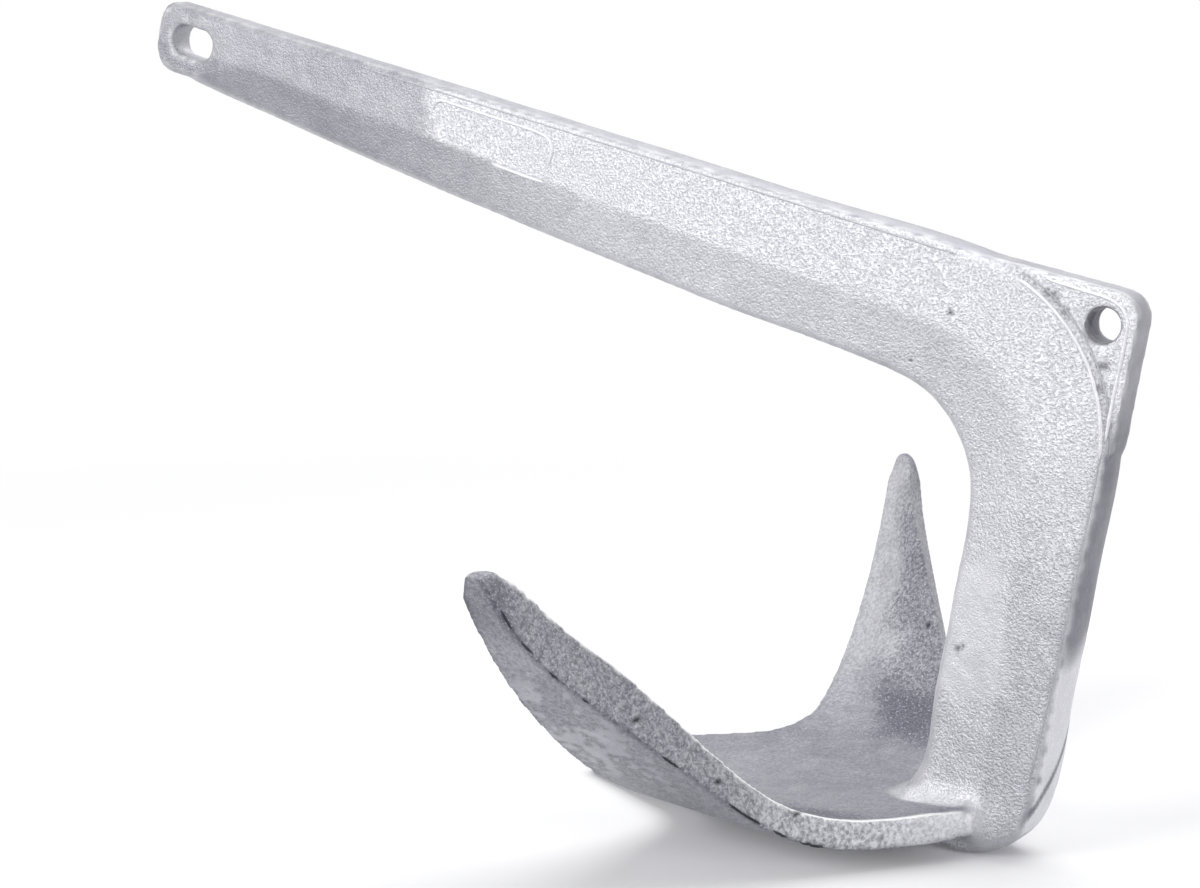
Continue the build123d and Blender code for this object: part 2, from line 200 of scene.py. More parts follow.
LIP_ACROSS = (0.24, 0.12)       # share of the way from the front edge to the rear edge
LIP_START = (60.0, 90.0)        # off
SHEET_FLECK = (0.0, 0.25)       # value of the noise where thin sheets of zinc lie on the outside of a horn
SHEET_PATCH = 0.5               # how much the large patches take part in that noise
SHEET_START = (100.0, 125.0)    # off
SHEET_END = (175.0, 155.0)      # off
SHEET_ACROSS = (0.95, 0.5)      # share of the way from the front edge to the rear edge

# The same for edges and hollows, which are told by how far a point stands above a softer skin, mm
EDGE_RELIEF = (0.12, 0.36)
GROOVE_RELIEF = (-0.02, -0.16)  # the groove between elbow and gusset, darkened as painted shade
GROOVE_LEFT = (200.0, 214.0)    # x
GROOVE_FOOT = (182.0, 190.0)    # z
FOOT_RELIEF = (-0.03, -0.12)    # the hollow between the foot and the claw, where a painted highlight lies on the fillet
FOOT_FRONT = (172.0, 180.0)     # x
FOOT_BACK = (222.0, 212.0)      # x
FOOT_TOP = (40.0, 32.0)         # z
FOOT_SIDE = (25.0, 20.0)        # off
EDGE_LEAN = 0.7                 # weight of the upward and of the inward part of a normal
UPPER_EDGE = (0.18, 0.42)       # how far an edge of the claw faces up and inward, where it gets a painted highlight
# how far an edge of the claw faces down and outward, where it gets painted shade
LOWER_EDGE = (-0.15, -0.40)
NEAR_HALF = (20.0, -20.0)       # y; the painted highlight on the upper edges shows on the near half only
DARK_FLECK = (0.22, 0.45)       # value of the fleck noise where a hollow is pitted

# How much lighter or darker each place is than plain zinc; the places that stand for light and shade are
# noted
PLAIN_TONE = 0.60
TONES = {
    # the flat sides of the shank are painted lighter than its bevels, and the bevel of the arm darker towards
    # its end: painted light and shade
    "side": 0.62, "side_beyond_panel": -0.78, "side_of_upright": -0.52, "bevel": 0.24, "bevel_of_arm": -0.50,
    "crown": -0.28, "web": 0.12, "web_root": -0.12, "strip": -0.32, "strip_seam": -0.10, "zinc_run": 0.80,
    # the groove by the gusset is painted darker as painted shade, and the fillet of the foot lighter as a
    # painted highlight
    "joint": -0.12, "groove": -0.30, "foot": 0.40, "rim": -0.22, "rim_middle": 0.60, "burnt": -0.26,
    # the floor of the scoop, where it faces up, is painted darker: painted shade
    "outer": -0.10, "inner": -0.03, "palm_shade": -0.36, "horn_tip": -0.16, "front_lip": 0.12, "bright_sheet": 0.16,
    # edges of the claw that face down and outward are painted darker: painted shade
    "shaded_lower_edge": -0.22,
}
# How strongly the zinc ripples there, and how sandy it is
RIPPLES = {"side": 1.0, "side_beyond_panel": -0.5, "bevel": 0.8, "web": 1.0}
SANDS = {"rim": 0.9, "rim_heel": -0.5, "burnt": 1.0, "inner": 0.5, "outer": 0.6, "zinc_sheet": -0.5}
MELTED_FLATTENS = 0.75
STRIP_RIPPLE = 0.2
FOOT_RIPPLE = 0.8
FOOT_CLEANS = 0.8
WEB_ROOT_SAND = 0.6
# Where bare bright metal shows, where the upper edges of the claw get a painted highlight, and where a dark
# hollow shows
SHANK_WEAR = 0.16
SHANK_WEAR_FLECK = 0.3
HORN_EDGE_HIGHLIGHT = 0.95
TIP_DROPS_HIGHLIGHT = 0.8
CHIPPED_WEAR = 0.9
GROOVE_DARK = 0.6
WEB_ROOT_DARK = 0.5

# What the beads tell the material
BEAD_FINISH = {"tone": 0.95, "ripple": 0.1, "sand": 0.0, "wear_and_highlight": 0.15, "dark": 0.0}

# Noise in the zinc: name, size in mm, detail, and the range that is stretched over 0 to 1. The real sand
# grains are 0.3 to 0.5 mm and the dust of the zinc is finer still: grit, speck and dust are drawn as coarse
# as they need to be to show from the camera.
ZINC_GRAIN = (
    ("cloud", 59.0, 3.0, 0.30, 0.70),
    ("mottle", 10.5, 4.0, 0.28, 0.72),
    ("ripple", 1.15, 1.5, 0.32, 0.62),
    ("grit", 1.8, 4.0, 0.36, 0.60),
    ("speck", 0.9, 1.0, 0.58, 0.72),
    ("dust", 0.65, 1.0, 0.30, 0.70),
)
ZINC_ROUGHNESS_OF_NOISE = 0.6
ZINC_DARK, ZINC_LIGHT = "#6E6E7A", "#F8F8FC"
ZINC_CLOUDS = (("cloud", 0.12), ("mottle", 0.14))
# Layers on the plain zinc: the mask that rules it, its noise, whether the low or the high values of that
# noise show, its strength and its colour
ZINC_LAYERS = (
    # the hollows between the ripples are painted darker: painted shade
    ("ripple", "ripple", "low", 0.42, "#8A8A94"),
    ("sand", "grit", "low", 0.72, "#55555F"),
    # bright specks of zinc between the sand grains: painted glints
    ("sand", "speck", "high", 0.5, "#E4E4EC"),
    (None, "dust", "low", 0.20, "#6A6A76"),
)
# White where the zinc is worn and where edges of the claw get a painted highlight; near black in the pits
ZINC_PLACES = (("wear_and_highlight", "#FFFFFF"), ("dark", "#2A2A31"))
ZINC_RELIEF = (("dust", 0.34), ("mottle", 0.9))
ZINC_RELIEF_HEIGHT = 0.32 * MM
ZINC_METALLIC = 0.5             # between bare metal and the dull oxide on it
ZINC_ROUGHNESS = 0.44
SAND_ROUGHNESS = 0.16           # added where it is sandy

# Painted shadow under the scraps of flash: near-black grain
FLASH_SHADOW_GRAIN = 1.1 * MM
FLASH_SHADOW_DARK, FLASH_SHADOW_LIGHT = "#121216", "#55555E"
FLASH_SHADOW_RELIEF = 0.2 * MM

# Floor, m
FLOOR_REACH = 6.0
PAPER_FADE = (0.42, 0.9)        # distance from the middle over which the paper turns to pure white
PAPER_SEEN, PAPER_LIGHTING = "#FDFDFF", "#9C9CA6"
PAPER_LIFT = 0.08

# Lamps: name, place and aim in m, size in m, power in W
SOFTBOXES = (
    ("front_softbox", (-0.9, -2.1, 1.1), (0, 0, 0.2), (1.2, 0.9), 29),
    ("top_softbox", (0.1, 0.6, 1.9), (0, 0, 0.1), (2.0, 2.0), 27),
    ("right_softbox", (2.2, -0.5, 0.8), (0, 0, 0.15), (0.9, 1.2), 9),
)
WORLD_LIGHTING, WORLD_SEEN = 0.28, 1.0

# Camera, from where the photograph was taken: its place, the direction from its aim back to it, and its roll
CAMERA_SPOT = Vector((0.5525, -0.7962, 0.3084))
CAMERA_BACK = Vector((0.55333, -0.8177, 0.15909))
CAMERA_ROLL = math.radians(1.42)
FRAME_WIDTH = 36.0              # mm
FOCAL_LENGTH = 61.5             # mm
FARTHEST_SEEN = 50.0            # m


def colour(code):
    """sRGB hex to linear RGBA."""
    parts = [int(code[i:i + 2], 16) / 255 for i in (1, 3, 5)]
    return tuple(p / 12.92 if p <= 0.04045 else ((p + 0.055) / 1.055) ** 2.4 for p in parts) + (1.0,)


def node(tree, kind, settings=None, links=None):
    """Adds one shader node; settings are its own properties or socket values, links feed its sockets."""
    made = tree.nodes.new(kind)
    for name, value in (settings or {}).items():
        if isinstance(name, str) and hasattr(made, name):
            setattr(made, name, value)
        else:
            made.inputs[name].default_value = value
    for name, source in (links or {}).items():
        tree.links.new(source, made.inputs[name])
    return made


def empty_material(name):
    made = bpy.data.materials.new(name)
    made.use_nodes = True
    made.node_tree.nodes.clear()
    return made, made.node_tree


def hot_dip_galvanised_cast_steel():
    """Steel cast in sand, then dipped in molten zinc. The zinc is a pale, cool grey metal skin, drawn into
    ripples about 1.5 mm apart, smooth where it ran thick, and dark and gritty where the sand of the mould
    burnt on. The skin carries masks for these, worked out from the shape. The masks also hold painted light
    and shade: the rippled sides of the shank are painted brighter than its bevels, the upper edges of the
    claw and the fillet of the foot carry painted highlights, and the floor of the scoop, the groove by the
    gusset and the lower edges of the claw painted shade."""
    material, tree = empty_material("hot_dip_galvanised_cast_steel")
    place = node(tree, "ShaderNodeTexCoord").outputs["Object"]
    mask = {name: node(tree, "ShaderNodeAttribute", {"attribute_name": name}).outputs["Fac"]
            for name in MASKS}
    grain = {}
    for name, size, detail, low, high in ZINC_GRAIN:
        settings = {"Scale": 1 / (size * MM), "Detail": detail, "Roughness": ZINC_ROUGHNESS_OF_NOISE}
        raw = node(tree, "ShaderNodeTexNoise", settings, {"Vector": place}).outputs["Fac"]
        grain[name] = node(tree, "ShaderNodeMapRange", {"From Min": low, "From Max": high},
                           {"Value": raw}).outputs["Result"]
    tone = mask["tone"]
    for name, weight in ZINC_CLOUDS:
        centred = node(tree, "ShaderNodeMath", {"operation": "SUBTRACT", 1: 0.5}, {0: grain[name]}).outputs[0]
        tone = node(tree, "ShaderNodeMath", {"operation": "MULTIPLY_ADD", 1: weight},
                    {0: centred, 2: tone}).outputs[0]
    zinc = node(tree, "ShaderNodeMix", {"data_type": "RGBA", 6: colour(ZINC_DARK), 7: colour(ZINC_LIGHT)},
                {0: tone}).outputs[2]
    for ruling, pattern, values, strength, tint in ZINC_LAYERS:
        share = grain[pattern]
        if values == "low":
            share = node(tree, "ShaderNodeMath", {"operation": "SUBTRACT", 0: 1.0}, {1: share}).outputs[0]
        share = node(tree, "ShaderNodeMath", {"operation": "MULTIPLY", 1: strength}, {0: share}).outputs[0]
        if ruling:
            share = node(tree, "ShaderNodeMath", {"operation": "MULTIPLY"},
                         {0: share, 1: mask[ruling]}).outputs[0]
        zinc = node(tree, "ShaderNodeMix", {"data_type": "RGBA", 7: colour(tint)},
                    {0: share, 6: zinc}).outputs[2]
    for name, tint in ZINC_PLACES:
        zinc = node(tree, "ShaderNodeMix", {"data_type": "RGBA", 7: colour(tint)},
                    {0: mask[name], 6: zinc}).outputs[2]
    height = node(tree, "ShaderNodeMath", {"operation": "MULTIPLY"},
                  {0: grain["ripple"], 1: mask["ripple"]}).outputs[0]
    height = node(tree, "ShaderNodeMath", {"operation": "MULTIPLY_ADD"},
                  {0: grain["grit"], 1: mask["sand"], 2: height}).outputs[0]
    for name, weight in ZINC_RELIEF:
        height = node(tree, "ShaderNodeMath", {"operation": "MULTIPLY_ADD", 1: weight},
                      {0: grain[name], 2: height}).outputs[0]
    bump = node(tree, "ShaderNodeBump", {"Strength": 1.0, "Distance": ZINC_RELIEF_HEIGHT}, {"Height": height})
    rough = node(tree, "ShaderNodeMath", {"operation": "MULTIPLY_ADD", 1: SAND_ROUGHNESS, 2: ZINC_ROUGHNESS},
                 {0: mask["sand"]}).outputs[0]
    shader = node(tree, "ShaderNodeBsdfPrincipled", {"Metallic": ZINC_METALLIC},
                  {"Base Color": zinc, "Roughness": rough, "Normal": bump.outputs["Normal"]})
    node(tree, "ShaderNodeOutputMaterial", links={"Surface": shader.outputs["BSDF"]})
    return material


def painted_flash_shadow():
    """Thin scraps of flash left where the two halves of the mould met, coloured near black as painted shadow
    under them.
    """
    material, tree = empty_material("painted_flash_shadow")
    place = node(tree, "ShaderNodeTexCoord").outputs["Object"]
    scale = node(tree, "ShaderNodeTexNoise", {"Scale": 1 / FLASH_SHADOW_GRAIN, "Detail": 3.0},
                 {"Vector": place}).outputs["Fac"]
    skin = node(tree, "ShaderNodeMix", {"data_type": "RGBA", 6: colour(FLASH_SHADOW_DARK), 7: colour(FLASH_SHADOW_LIGHT)},
                {0: scale}).outputs[2]
    bump = node(tree, "ShaderNodeBump", {"Strength": 0.8, "Distance": FLASH_SHADOW_RELIEF}, {"Height": scale})
    shader = node(tree, "ShaderNodeBsdfPrincipled", {"Metallic": 0.2, "Roughness": 0.75},
                  {"Base Color": skin, "Normal": bump.outputs["Normal"]})
    node(tree, "ShaderNodeOutputMaterial", links={"Surface": shader.outputs["BSDF"]})
    return material


def white_paper():
    """The floor, matt white paper: it shows pure white in the light and a soft grey in the shadow. The light
    that it throws back up is that of a greyer table."""
    material, tree = empty_material("white_paper")
    place = node(tree, "ShaderNodeTexCoord").outputs["Object"]
    far = node(tree, "ShaderNodeVectorMath", {"operation": "LENGTH"}, {0: place}).outputs["Value"]
    edge = node(tree, "ShaderNodeMapRange", {"From Min": PAPER_FADE[0], "From Max": PAPER_FADE[1]},
                {"Value": far}).outputs["Result"]
    ray = node(tree, "ShaderNodeLightPath")
    seen = node(tree, "ShaderNodeMath", {"operation": "MAXIMUM"},
                {0: ray.outputs["Is Camera Ray"], 1: ray.outputs["Is Glossy Ray"]}).outputs[0]
    tints = {"data_type": "RGBA", 6: colour(PAPER_LIGHTING), 7: colour(PAPER_SEEN)}
    tint = node(tree, "ShaderNodeMix", tints, {0: seen}).outputs[2]
    paper = node(tree, "ShaderNodeBsdfDiffuse", links={"Color": tint})
    lifted = node(tree, "ShaderNodeMath", {"operation": "MULTIPLY", 1: PAPER_LIFT}, {0: seen}).outputs[0]
    lift = node(tree, "ShaderNodeEmission", {"Color": colour("#FFFFFF")}, {"Strength": lifted})
    paper = node(tree, "ShaderNodeAddShader", links={0: paper.outputs[0], 1: lift.outputs[0]})
    glow = node(tree, "ShaderNodeEmission", {"Color": colour("#FFFFFF"), "Strength": 1.0})
    share = node(tree, "ShaderNodeMath", {"operation": "MULTIPLY"}, {0: edge, 1: seen}).outputs[0]
    both = node(tree, "ShaderNodeMixShader", links={0: share, 1: paper.outputs[0], 2: glow.outputs[0]})
    node(tree, "ShaderNodeOutputMaterial", links={"Surface": both.outputs[0]})
    return material


def skin_mesh(source):
    """Even grid of points over the solid, made from the solid itself."""
    carrier = bpy.data.objects.new("skin_carrier", source.data.copy())
    bpy.context.scene.collection.objects.link(carrier)
    wrap = carrier.modifiers.new("even_grid", "REMESH")
    wrap.mode = "VOXEL"
    wrap.voxel_size = SKIN_GRID
    made = bpy.data.meshes.new_from_object(carrier.evaluated_get(bpy.context.evaluated_depsgraph_get()))
    bpy.data.objects.remove(carrier)
    return made


def points_of(mesh):
    flat = np.zeros(len(mesh.vertices) * 3)
    mesh.vertices.foreach_get("co", flat)
    return flat.reshape(-1, 3)


def normals_of(mesh):
    flat = np.zeros(len(mesh.vertices) * 3)
    mesh.vertices.foreach_get("normal", flat)
    return flat.reshape(-1, 3)


def pairs_of(mesh):
    flat = np.zeros(len(mesh.edges) * 2, np.int64)
    mesh.edges.foreach_get("vertices", flat)
    return flat.reshape(-1, 2)


def put(mesh, points):
    mesh.vertices.foreach_set("co", points.ravel())
    mesh.update()


def carry(mesh, values):
    for name, numbers in values.items():
        mesh.attributes.new(name, "FLOAT", "POINT").data.foreach_set("value", numbers.astype(np.float32))


def neighbour_mean(points, pairs, count):
    total = np.zeros_like(points)
    for axis in range(points.shape[1]):
        total[:, axis] = (np.bincount(pairs[:, 0], points[pairs[:, 1], axis], len(points))
                          + np.bincount(pairs[:, 1], points[pairs[:, 0], axis], len(points)))
    return total / count[:, None]


def rounded(points, pairs, count, rounds):
    """Pulls each point halfway to its neighbours, which rounds edges and leaves flats as they are."""
    for _ in range(rounds):
        points = points + 0.5 * (neighbour_mean(points, pairs, count) - points)
    return points


def drawn_to(points, solid):
    """The nearest points of the solid; drawn from outside, they gather along its sharp edges."""
    tree = BVHTree.FromObject(solid, bpy.context.evaluated_depsgraph_get())
    return np.array([tree.find_nearest(Vector(p))[0] for p in points])


def soft_places(start, points, pairs, count):
    """Rounds the tips of the horns and the foot further, and pulls the tips back out."""
    mirror = np.ones_like(start)
    mirror[:, 1] = np.sign(start[:, 1])
    near_side = start * mirror / MM
    for place, reach in SOFT_PLACES:
        share = step(reach, reach * 0.5, np.linalg.norm(near_side - place, axis=1))[:, None]
        points = points + share * (rounded(points, pairs, count, SOFT_ROUNDS) - points)
    place, reach, pull = TIP_PULL
    share = step(reach, 0.0, np.linalg.norm(near_side - place, axis=1))[:, None]
    return points + share * mirror * np.array(pull) * MM


def step(low, high, values):
    """0 before low and 1 past high, smooth between; low may be the greater."""
    t = np.clip((values - low) / (high - low), 0.0, 1.0)
    return t * t * (3 - 2 * t)


def cloudiness(points, size, seed):
    """Soft noise between -1 and 1; the size of its patches is in the unit of the points."""
    shift = Vector((seed, seed, seed))
    return np.array([noise.noise(Vector(p) / size + shift) for p in points])


def depth_from_back(x, z):
    """How deep a point lies below the back of the shank, in the side view; below 0 in the gusset."""
    dx, dz = x - ELBOW_CORNER[0], z - ELBOW_CORNER[1]
    arm = -dx * math.sin(ARM_SLOPE) - dz * math.cos(ARM_SLOPE)
    upright = -dx * math.cos(UPRIGHT_LEAN) + dz * math.sin(UPRIGHT_LEAN)
    corner = ELBOW_RADIUS - np.hypot(ELBOW_RADIUS - arm, ELBOW_RADIUS - upright)
    in_corner = (arm < ELBOW_RADIUS) & (upright < ELBOW_RADIUS)
    return np.where(in_corner, corner, np.minimum(arm, upright))


def surroundings(points, normals, relief):
    """What the finish depends on at each point of the skin: places in mm, facing, noise and relief."""
    at = SimpleNamespace(relief=relief)
    at.x, at.y, at.z = points.T
    at.nx, at.ny, at.nz = normals.T
    at.off = np.abs(at.y)
    at.facing_middle = -np.sign(at.y) * at.ny
    at.patch = cloudiness(points, PATCH_SIZE, PATCH_SEED)
    at.fleck = cloudiness(points, FLECK_SIZE, FLECK_SEED)
    at.back = depth_from_back(at.x, at.z)
    at.ridge = np.where(at.z > ARM_BOTTOM, np.interp(at.x, *ARM_RIDGE), np.interp(at.z, *UPRIGHT_RIDGE))
    return at


def shank_shares(at):
    """Share of each face and mark of the shank at each point, 0 to 1."""
    shank = step(*SHANK_SIDE, at.off) * np.maximum(step(*SHANK_FOOT, at.z), step(*HEEL_FRONT, at.x))
    flat = step(*FLAT_FACE, np.abs(at.ny))
    side = shank * flat * step(-RIDGE_BLEND, RIDGE_BLEND, at.ridge - at.back)
    bevel = shank * flat * step(-RIDGE_BLEND, RIDGE_BLEND, at.back - at.ridge)
    web = shank * flat * step(*GUSSET_EDGE, at.back)
    beyond_panel = np.where(at.y < 0, step(*PANEL_START, at.x + PANEL_WANDER * at.fleck),
                            FAR_SIDE_SHARE * step(*FAR_SIDE_FADE, at.x))
    on_upright = step(*UPRIGHT_FADE, at.z) * step(*UPRIGHT_FRONT, at.x)
    crown = shank * (1 - flat) * step(*CROWN_DEPTH, at.back)
    from_melted = (((at.x - MELTED_MIDDLE[0]) / MELTED_SIZE[0]) ** 2
                   + ((at.z - MELTED_MIDDLE[1]) / MELTED_SIZE[1]) ** 2 - 1)
    joint = step(*JOINT_WIDTH, np.abs(at.back - JOINT_DEPTH)) * step(*JOINT_FACING, np.abs(at.ny))
    chipped = step(*CHIPPED_RIDGE, np.abs(at.ridge - at.back)) * step(*CHIPPED_FLECK, at.fleck)
    return {
        "shank": shank, "side": side, "bevel": bevel, "web": web,
        "side_beyond_panel": side * beyond_panel,
        "side_of_upright": side * on_upright,
        "bevel_of_arm": bevel * step(*BEVEL_FADE, at.x),
        "crown": crown * (1 - CROWN_OFF_STRIP * step(*STRIP_TOP, at.z)),
        "web_root": web * step(*GUSSET_ROOT, at.back),
        "melted": shank * step(*MELTED_EDGE, from_melted + MELTED_WANDER * at.patch),
        "joint": shank * joint,
        "chipped": side * chipped * step(*CHIPPED_LEFT, at.x) * step(*CHIPPED_RIGHT, at.x),
    }


def strip_shares(at, shank):
    """The same for the flat strip at the back of the upright, its seam and its run of bright zinc."""
    strip = shank * step(*STRIP_FACING, at.nx) * step(*STRIP_TOP, at.z)
    seam_y = STRIP_SEAM_START[0] + (at.z - STRIP_SEAM_START[1]) * STRIP_SEAM_SLOPE
    seam = strip * step(*STRIP_SEAM_WIDTH, np.abs(at.y - seam_y + STRIP_SEAM_WANDER * at.patch))
    seam = seam * step(*STRIP_SEAM_TOP, at.z) * step(*STRIP_SEAM_FOOT, at.z)
    run = strip * step(*RUN_TOP, at.z + RUN_TOP_WANDER * at.patch) * step(*RUN_FOOT, at.z)
    run = run * step(*RUN_SIDE, at.y + RUN_SIDE_WANDER * at.fleck) * (1 - seam)
    return {"strip": strip, "strip_seam": seam, "zinc_run": run}


def claw_shares(at, shank):
    """The same for the claw: its thick rear rim, and the inside and the outside of the plate."""
    claw = 1 - shank
    rim = claw * step(*RIM_FACING, at.nx)
    facing_in = step(*IN_OR_OUT, at.nz + INWARD_LEAN * at.facing_middle)
    inner = claw * (1 - rim) * facing_in
    outer = claw * (1 - rim) * (1 - facing_in)
    front = CLAW_FRONT[0] + CLAW_FRONT[1] * at.off
    rear = CLAW_REAR[0] + CLAW_REAR[1] * at.off
    across = (at.x - front) / np.maximum(rear - front, 1.0)
    burnt = inner * step(*BURNT_ACROSS, across + BURNT_WANDER * at.patch) * step(*BURNT_START, at.off)
    sheet = outer * step(*SHEET_FLECK, at.fleck + SHEET_PATCH * at.patch) * step(*SHEET_START, at.off)
    sheet = sheet * step(*SHEET_END, at.off)
    return {
        "claw": claw, "rim": rim, "inner": inner, "outer": outer, "zinc_sheet": sheet,
        "rim_middle": rim * step(*RIM_MIDDLE, at.off),
        "rim_heel": rim * step(*RIM_HEEL, at.off),
        "burnt": burnt * step(*BURNT_END, at.off + BURNT_END_WANDER * at.patch),
        # the floor of the scoop, where it faces up, is painted darker: painted shade
        "palm_shade": inner * step(*PALM_FACING, at.nz),
        "horn_tip": claw * step(*TIP_TONE, at.off),
        "tip_without_highlight": claw * step(*TIP_HIGHLIGHT_FADE, at.off),
        "front_lip": inner * step(*LIP_ACROSS, across) * step(*LIP_START, at.off),
        "bright_sheet": sheet * step(*SHEET_ACROSS, across),
    }


def edge_shares(at, claw):
    """The same for edges and hollows: the painted highlight on the upper edges of the claw, painted shade on
    its lower edges and in the groove by the gusset, and a painted highlight in the hollow of the foot.
    """
    edge = step(*EDGE_RELIEF, at.relief)
    inward = EDGE_LEAN * (at.nz + at.facing_middle)
    foot = step(*FOOT_RELIEF, at.relief) * step(*FOOT_FRONT, at.x) * step(*FOOT_BACK, at.x)
    return {
        "edge": edge,
        "lit_upper_edge": edge * claw * step(*UPPER_EDGE, inward) * step(*NEAR_HALF, at.y),
        "shaded_lower_edge": edge * claw * step(*LOWER_EDGE, inward),
        "groove": step(*GROOVE_RELIEF, at.relief) * step(*GROOVE_LEFT, at.x) * step(*GROOVE_FOOT, at.z),
        "foot": foot * step(*FOOT_TOP, at.z) * step(*FOOT_SIDE, at.off),
    }


def mixed(amounts, share):
    """Each amount times the share of its face or mark, summed."""
    return sum(amount * share[name] for name, amount in amounts.items())


def masks(points, normals, relief):
    """What the zinc looks like at each point of the skin."""
    at = surroundings(points, normals, relief)
    share = shank_shares(at)
    share |= strip_shares(at, share["shank"])
    share |= claw_shares(at, share["shank"])
    share |= edge_shares(at, share["claw"])

    ripple = mixed(RIPPLES, share) * (1 - MELTED_FLATTENS * share["melted"])
    ripple = ripple * (1 - share["strip"]) + STRIP_RIPPLE * share["strip"] * (1 - share["zinc_run"])
    ripple = np.clip(np.maximum(ripple, FOOT_RIPPLE * share["foot"]), 0, 1)

    sand = np.clip(mixed(SANDS, share), 0, 1) * (1 - FOOT_CLEANS * share["foot"])
    sand = sand + WEB_ROOT_SAND * share["web_root"]

    # Worn edges and chipped ridge of the shank, and the painted highlight along the upper edges of the claw,
    # left off at the horn tips
    shank_wear = (SHANK_WEAR + SHANK_WEAR_FLECK * at.fleck) * share["shank"] * (1 - share["joint"])
    wear_and_highlight = share["edge"] * shank_wear + HORN_EDGE_HIGHLIGHT * share["lit_upper_edge"]
    wear_and_highlight = wear_and_highlight * (1 - TIP_DROPS_HIGHLIGHT * share["tip_without_highlight"])
    wear_and_highlight = np.clip(np.maximum(wear_and_highlight, CHIPPED_WEAR * share["chipped"]), 0, 1)

    dark = np.maximum(GROOVE_DARK * share["groove"], WEB_ROOT_DARK * share["web_root"])
    dark = dark * step(*DARK_FLECK, at.fleck)
    for x, y, z, radius in PITS:
        away = np.sqrt((at.x - x) ** 2 + ((at.y - y) * PIT_REACH_ACROSS) ** 2 + (at.z - z) ** 2)
        dark = np.maximum(dark, step(radius + PIT_BLEND, radius * PIT_FLOOR, away))

    tone = PLAIN_TONE + mixed(TONES, share)
    return dict(zip(MASKS, (tone, ripple, sand, wear_and_highlight * (1 - dark), dark)))


def casting(steel):
    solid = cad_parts["claw_anchor"]
    mesh = skin_mesh(solid)
    mesh.name = "claw_anchor_casting"
    start, pairs = points_of(mesh), pairs_of(mesh)
    count = np.bincount(pairs.ravel(), minlength=len(start)).astype(float)
    for _ in range(DRAWS):
        put(mesh, rounded(start, pairs, count, EASING_ROUNDS))
        start = drawn_to(points_of(mesh) + normals_of(mesh) * DRAW_FROM, solid)
    points = soft_places(start, rounded(start, pairs, count, ARRIS_ROUNDS), pairs, count)
    softer = rounded(points, pairs, count, RELIEF_ROUNDS)
    put(mesh, points)
    normals = normals_of(mesh)
    relief = ((points - softer) * normals).sum(axis=1) / MM
    finish = masks(points / MM, normals, relief)
    swell = cloudiness(points, SWELL_SIZE, SWELL_SEED) * SWELL_HEIGHT
    lumps = cloudiness(points, LUMP_SIZE, LUMP_SEED) * LUMP_HEIGHT
    lift = swell + lumps - finish["dark"] * PIT_DEPTH
    put(mesh, points + normals * lift[:, None])
    carry(mesh, finish)
    mesh.polygons.foreach_set("use_smooth", [True] * len(mesh.polygons))
    mesh.materials.clear()
    mesh.materials.append(steel)
    piece = bpy.data.objects.new("claw_anchor_casting", mesh)
    bpy.context.scene.collection.objects.link(piece)
    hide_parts("claw_anchor")
    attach(piece, "root")
    return piece


def even_path(corners, gap=BEAD_GAP):
    """Points at even gaps along a line of corners, with the corners taken smoothly."""
    corners = np.array(corners, float)
    run = np.concatenate([[0.0], np.cumsum(np.linalg.norm(np.diff(corners, axis=0), axis=1))])
    spots = np.linspace(0.0, run[-1], max(int(run[-1] / gap), 3) + 1)
    path = np.stack([np.interp(spots, run, corners[:, axis]) for axis in range(3)], axis=1)
    for _ in range(BEAD_EASING):
        path[1:-1] = (path[:-2] + 2 * path[1:-1] + path[2:]) / 4
    return path


def bead(name, paths, radius, material, skin, values):
    """Round beads that lie half sunk in the skin along paths in mm, fading out at their ends."""
    tree = BVHTree.FromObject(skin, bpy.context.evaluated_depsgraph_get())
    points, faces = [], []
    for number, path in enumerate(paths):
        spots = [tree.find_nearest(Vector(p) * MM) for p in path]
        last = len(spots) - 1
        for k, (spot, normal, _, _) in enumerate(spots):
            ahead = (spots[min(k + 1, last)][0] - spots[max(k - 1, 0)][0]).normalized()
            across = ahead.cross(normal).normalized()
            wander = noise.noise(spot / (BEAD_WOBBLE_SIZE * MM) + Vector((number, 0, 0)))
            fade = min(1.0, BEAD_END + BEAD_GROWTH * min(k, last - k))
            thick = radius * MM * (1 + BEAD_WOBBLE * wander) * fade
            for turn in range(BEAD_SIDES):
                angle = 2 * math.pi * turn / BEAD_SIDES
                points.append(spot + thick * (math.cos(angle) * across + math.sin(angle) * normal))
                if k < last:
                    a = len(points) - 1
                    b = a - turn + (turn + 1) % BEAD_SIDES
                    faces.append((a, b, b + BEAD_SIDES, a + BEAD_SIDES))
        end, start = len(points), len(points) - BEAD_SIDES * (last + 1)
        faces.append(tuple(range(end - BEAD_SIDES, end)))
        faces.append(tuple(range(start, start + BEAD_SIDES))[::-1])
    mesh = bpy.data.meshes.new(name)
    mesh.from_pydata(points, [], faces)
    mesh.polygons.foreach_set("use_smooth", [True] * len(mesh.polygons))
    carry(mesh, {key: np.full(len(points), value) for key, value in values.items()})
    mesh.materials.append(material)
    piece = bpy.data.objects.new(name, mesh)
    bpy.context.scene.collection.objects.link(piece)
    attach(piece, "root")


def both_sides(line, off):
    """A line of the side view, mm (x, z), on the near and on the far side of the shank."""
    return [even_path([(x, side * off, z) for x, z in line]) for side in (-1, 1)]


def elbow_arc(radius):
    """Arc around the elbow in the side view, from the arm down to the upright."""
    turns = np.radians(np.linspace(*ELBOW_TURN, ELBOW_POINTS))
    return [(ELBOW_CENTRE[0] + radius * math.cos(a), ELBOW_CENTRE[1] + radius * math.sin(a)) for a in turns]


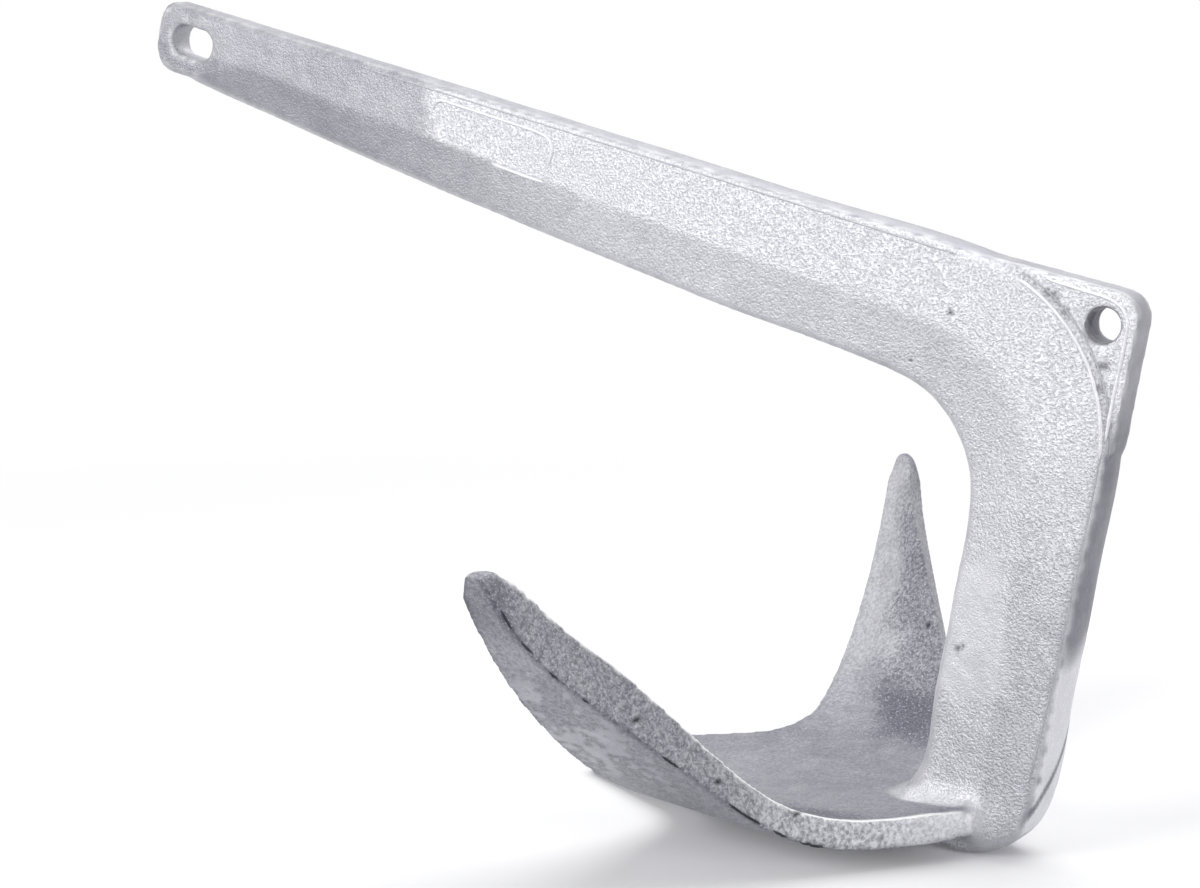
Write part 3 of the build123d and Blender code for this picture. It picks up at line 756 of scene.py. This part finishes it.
def arm_seam():
    """The joint of the mould halves, just below the back of the arm, in the side view."""
    rise = math.tan(ARM_SLOPE)
    return [(x, ELBOW_CORNER[1] + (ELBOW_CORNER[0] - x) * rise - ARM_SEAM_DROP) for x in ARM_SEAM]


def horn_flash():
    """The stretches of the lower back edge of the near horn that kept a scrap of flash, where the black beads
    of painted shadow go.
    """
    edge = even_path(HORN_EDGE, FLASH_GAP)
    starts = [int(first * len(edge)) for first, _ in FLASH_PIECES]
    ends = [int(second * len(edge)) for _, second in FLASH_PIECES]
    return [edge[a:max(b, a + SHORTEST_FLASH)] for a, b in zip(starts, ends)]


def raised_details(skin, steel, flash):
    """What is too fine for the skin: the panel outline, the edge of the elbow, scraps of flash coloured black
    as painted shadow.
    """
    panel = [even_path([(x, -PANEL_OFF, z) for x, z in line]) for line in (PANEL, PANEL_END)]
    bead("panel_outline", panel, PANEL_BEAD, steel, skin, BEAD_FINISH)
    bends = both_sides(elbow_arc(ELBOW_RADIUS - ELBOW_EDGE_INSET), ELBOW_EDGE_OFF)
    bead("elbow_edge", bends, ELBOW_BEAD, steel, skin, BEAD_FINISH | {"wear_and_highlight": 0.3})
    seams = both_sides(arm_seam(), ARM_SEAM_OFF) + both_sides(UPRIGHT_SEAM, UPRIGHT_SEAM_OFF)
    seams += both_sides(elbow_arc(ELBOW_RADIUS + ELBOW_SEAM_OUTSET), ELBOW_SEAM_OFF)
    bead("mould_seams", seams, SEAM_BEAD, steel, skin, BEAD_FINISH | {"tone": 0.50, "wear_and_highlight": 0.0})
    rims = both_sides(GUSSET_RIM, GUSSET_RIM_OFF)
    bead("gusset_rim", rims, RIM_BEAD, steel, skin, BEAD_FINISH | {"wear_and_highlight": 0.2})
    bead("flash_shadow_beads", horn_flash(), FLASH_BEAD, flash, skin, BEAD_FINISH | {"dark": 1.0})


def floor():
    mesh = bpy.data.meshes.new("floor")
    corners = [(x * FLOOR_REACH, y * FLOOR_REACH, 0) for x, y in ((-1, -1), (1, -1), (1, 1), (-1, 1))]
    mesh.from_pydata(corners, [], [(0, 1, 2, 3)])
    mesh.materials.append(white_paper())
    sheet = bpy.data.objects.new("floor", mesh)
    bpy.context.scene.collection.objects.link(sheet)


def softbox(name, spot, aim, size, power):
    lamp = bpy.data.lights.new(name, "AREA")
    lamp.shape = "RECTANGLE"
    lamp.size, lamp.size_y = size
    lamp.energy = power
    box = bpy.data.objects.new(name, lamp)
    bpy.context.scene.collection.objects.link(box)
    box.location = spot
    box.rotation_euler = (Vector(aim) - Vector(spot)).to_track_quat("-Z", "Y").to_euler()


def studio():
    for lamp in SOFTBOXES:
        softbox(*lamp)
    world = bpy.data.worlds.new("studio_white")
    world.use_nodes = True
    tree = world.node_tree
    tree.nodes.clear()
    ray = node(tree, "ShaderNodeLightPath")
    seen = node(tree, "ShaderNodeMath", {"operation": "MAXIMUM"},
                {0: ray.outputs["Is Camera Ray"], 1: ray.outputs["Is Glossy Ray"]}).outputs[0]
    strength = node(tree, "ShaderNodeMapRange", {"To Min": WORLD_LIGHTING, "To Max": WORLD_SEEN},
                    {"Value": seen}).outputs["Result"]
    air = node(tree, "ShaderNodeBackground", {"Color": colour("#FFFFFF")}, {"Strength": strength})
    node(tree, "ShaderNodeOutputWorld", links={"Surface": air.outputs[0]})
    bpy.context.scene.world = world


def camera():
    lens = bpy.data.cameras.new("camera")
    lens.lens = FOCAL_LENGTH
    lens.sensor_width = FRAME_WIDTH
    lens.clip_end = FARTHEST_SEEN
    eye = bpy.data.objects.new("camera", lens)
    bpy.context.scene.collection.objects.link(eye)
    turn = (-CAMERA_BACK).to_track_quat("-Z", "Y").to_matrix() @ Matrix.Rotation(CAMERA_ROLL, 3, "Z")
    eye.matrix_world = Matrix.Translation(CAMERA_SPOT) @ turn.to_4x4()
    bpy.context.scene.camera = eye


bpy.context.scene.view_settings.view_transform = "Standard"
camera()
studio()
floor()
steel = hot_dip_galvanised_cast_steel()
skin = casting(steel)
raised_details(skin, steel, painted_flash_shadow())
